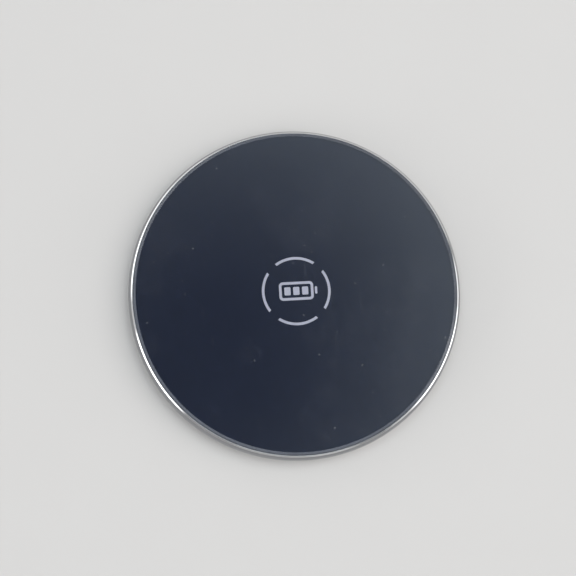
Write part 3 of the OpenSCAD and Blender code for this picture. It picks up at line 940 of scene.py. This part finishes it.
def wall_panels(tree, x, y):
    """Brightness of the room's panels by direction."""
    turn = sums(tree, "ARCTAN2", sums(tree, "MULTIPLY", y, -1.0), x)
    share = sums(tree, "FRACT", sums(tree, "ADD", sums(tree, "DIVIDE", turn, 2 * math.pi), 1.0))
    ramp = tree.nodes.new("ShaderNodeValToRGB")
    put(tree, ramp.inputs[0], share)
    ramp.color_ramp.interpolation = "LINEAR"
    while len(ramp.color_ramp.elements) < 2 * len(PANELS):
        ramp.color_ramp.elements.new(0.5)
    panels = list(PANELS.values())
    ends = [start for start, level in panels[1:]] + [360]
    stops = []
    for (start, level), end in zip(panels, ends):
        seam = min(PANEL_SEAM, (end - start) / 3)
        stops += [(start + seam * (start > 0), level), (end - seam * (end < 360), level)]
    for element, (angle, level) in zip(ramp.color_ramp.elements, stops):
        element.position = angle / 360
        element.color = (*([level / BRIGHTEST] * 3), 1)
    walls = tree.nodes.new("ShaderNodeVectorMath")
    walls.operation = "SCALE"
    put(tree, walls.inputs[0], ramp.outputs[0])
    walls.inputs["Scale"].default_value = BRIGHTEST
    return walls.outputs[0]


def away_from_shade(tree, x, y):
    """How far a direction points away from the middle of the ceiling's dark patch."""
    off_x = sums(tree, "SUBTRACT", x, SHADE_AT[0])
    off_y = sums(tree, "SUBTRACT", y, SHADE_AT[1])
    squares = sums(tree, "ADD", sums(tree, "POWER", off_x, 2.0), sums(tree, "POWER", off_y, 2.0))
    return sums(tree, "SQRT", squares)


def make_room():
    """Soft room: panels all round, a plain upper wall and a bright ceiling with one dark patch."""
    world = bpy.data.worlds.new("room")
    bpy.context.scene.world = world
    world.use_nodes = True
    tree = world.node_tree
    parts = tree.nodes.new("ShaderNodeSeparateXYZ")
    put(tree, parts.inputs[0], tree.nodes.new("ShaderNodeTexCoord").outputs["Generated"])
    x, y, z = parts.outputs
    walls = wall_panels(tree, x, y)
    off = away_from_shade(tree, x, y)
    lit = sums(tree, "POWER", spread(tree, off, *SHADE_REACH), 2.0)
    above = blend(tree, lit, CEILING_SHADE, CEILING)
    bands = blend(tree, spread(tree, z, *WALL_TOP), walls, UPPER_WALL)
    around = blend(tree, spread(tree, off, *CEILING_EDGE), above, bands)
    seen = tree.nodes.new("ShaderNodeLightPath").outputs["Is Camera Ray"]
    background = tree.nodes["Background"]
    put(tree, background.inputs[0], blend(tree, seen, around, BACKDROP))
    background.inputs[1].default_value = 1


VIEW_TILT = math.radians(9.5)
VIEW_SIDE = math.radians(22)    # where the camera stands, round from -Y towards -X
VIEW_ROLL = math.radians(3.5)   # how far the camera's up direction turns from +Y towards +X
VIEW_DISTANCE = 0.280
VIEW_AIM = (-2.45 * MM, 0.96 * MM)
VIEW_LENS = 58.5                # in mm, as is the sensor's width
VIEW_SENSOR = 36


def make_camera():
    """Camera looking down on the pad, tilted a little off the upright."""
    right = Vector((math.cos(VIEW_ROLL), -math.sin(VIEW_ROLL), 0))
    up = Vector((math.sin(VIEW_ROLL), math.cos(VIEW_ROLL), 0))
    away = -right * math.sin(VIEW_SIDE) - up * math.cos(VIEW_SIDE)
    back = away * math.sin(VIEW_TILT) + Vector((0, 0, math.cos(VIEW_TILT)))
    target = Vector((0, 0, PLATE_LOW.z)) + right * VIEW_AIM[0] + up * VIEW_AIM[1]
    data = bpy.data.cameras.new("camera")
    data.sensor_width = VIEW_SENSOR
    data.lens = VIEW_LENS
    camera = bpy.data.objects.new("camera", data)
    # The view's up direction, square to the line of sight
    upright = (up - back * up.dot(back)).normalized()
    across = upright.cross(back)
    turned = Matrix((across, upright, back)).transposed()
    camera.matrix_world = Matrix.Translation(target + back * VIEW_DISTANCE) @ turned.to_4x4()
    bpy.context.scene.collection.objects.link(camera)
    bpy.context.scene.camera = camera


make_camera()
make_floor()
make_room()
make_lamp("key_softbox", (1.9, 0.0, 2.5), (0, 0, 0), size=2.8, watts=50)
bpy.context.scene.view_settings.view_transform = "Standard"

make_plate()
make_film()
make_rim()
make_mark()
make_pipe()
make_inlet_shell()
make_tongue()
make_contacts()
make_base()
make_feet()
SCREW_STEEL = metal("screw_steel", (0.46, 0.47, 0.49), 0.3, 2500)
make_screws("base_screws_pan", "base_screws", BASE_SCREW, BASE_SCREW_AWAY, SCREW_STEEL)
make_screws("board_screws_pan", "board_screws", BOARD_SCREW, BOARD_SCREW_AWAY, SCREW_STEEL)

dress(moulded("black_plastic", (0.016, 0.017, 0.019), 1500), "upper_shell")
dress(wound_wire(), "charging_coil", "coil_leads")
dress(amber_tape(), "coil_tape")
dress(ferrite_black(), "ferrite_shield")
dress(open_foam(), "foam_pad")
dress(dipped_resin(), "thermistor")
dress(solder_mask(), "circuit_board")
dress(metal("solder", (0.62, 0.63, 0.65), 0.25, 900), "solder_joints")
dress(
    moulded("chip_black", (0.014, 0.014, 0.016), 4000, 0.45, 0.01),
    "controller_chip", "protocol_chip", "power_switches"
)
dress(
    ceramic_body("capacitor_ceramic", (0.42, 0.28, 0.15), (0.30, 0.19, 0.10)),
    "resonant_capacitors", "decoupling_capacitors"
)
dress(ceramic_body("resistor_black", (0.03, 0.03, 0.032), (0.015, 0.015, 0.017)), "sense_resistors")
dress(ceramic_body("inductor_grey", (0.09, 0.09, 0.095), (0.05, 0.05, 0.055)), "filter_inductor")
dress(ceramic_body("led_body", (0.8, 0.78, 0.66), (0.7, 0.68, 0.58)), "indicator_leds")
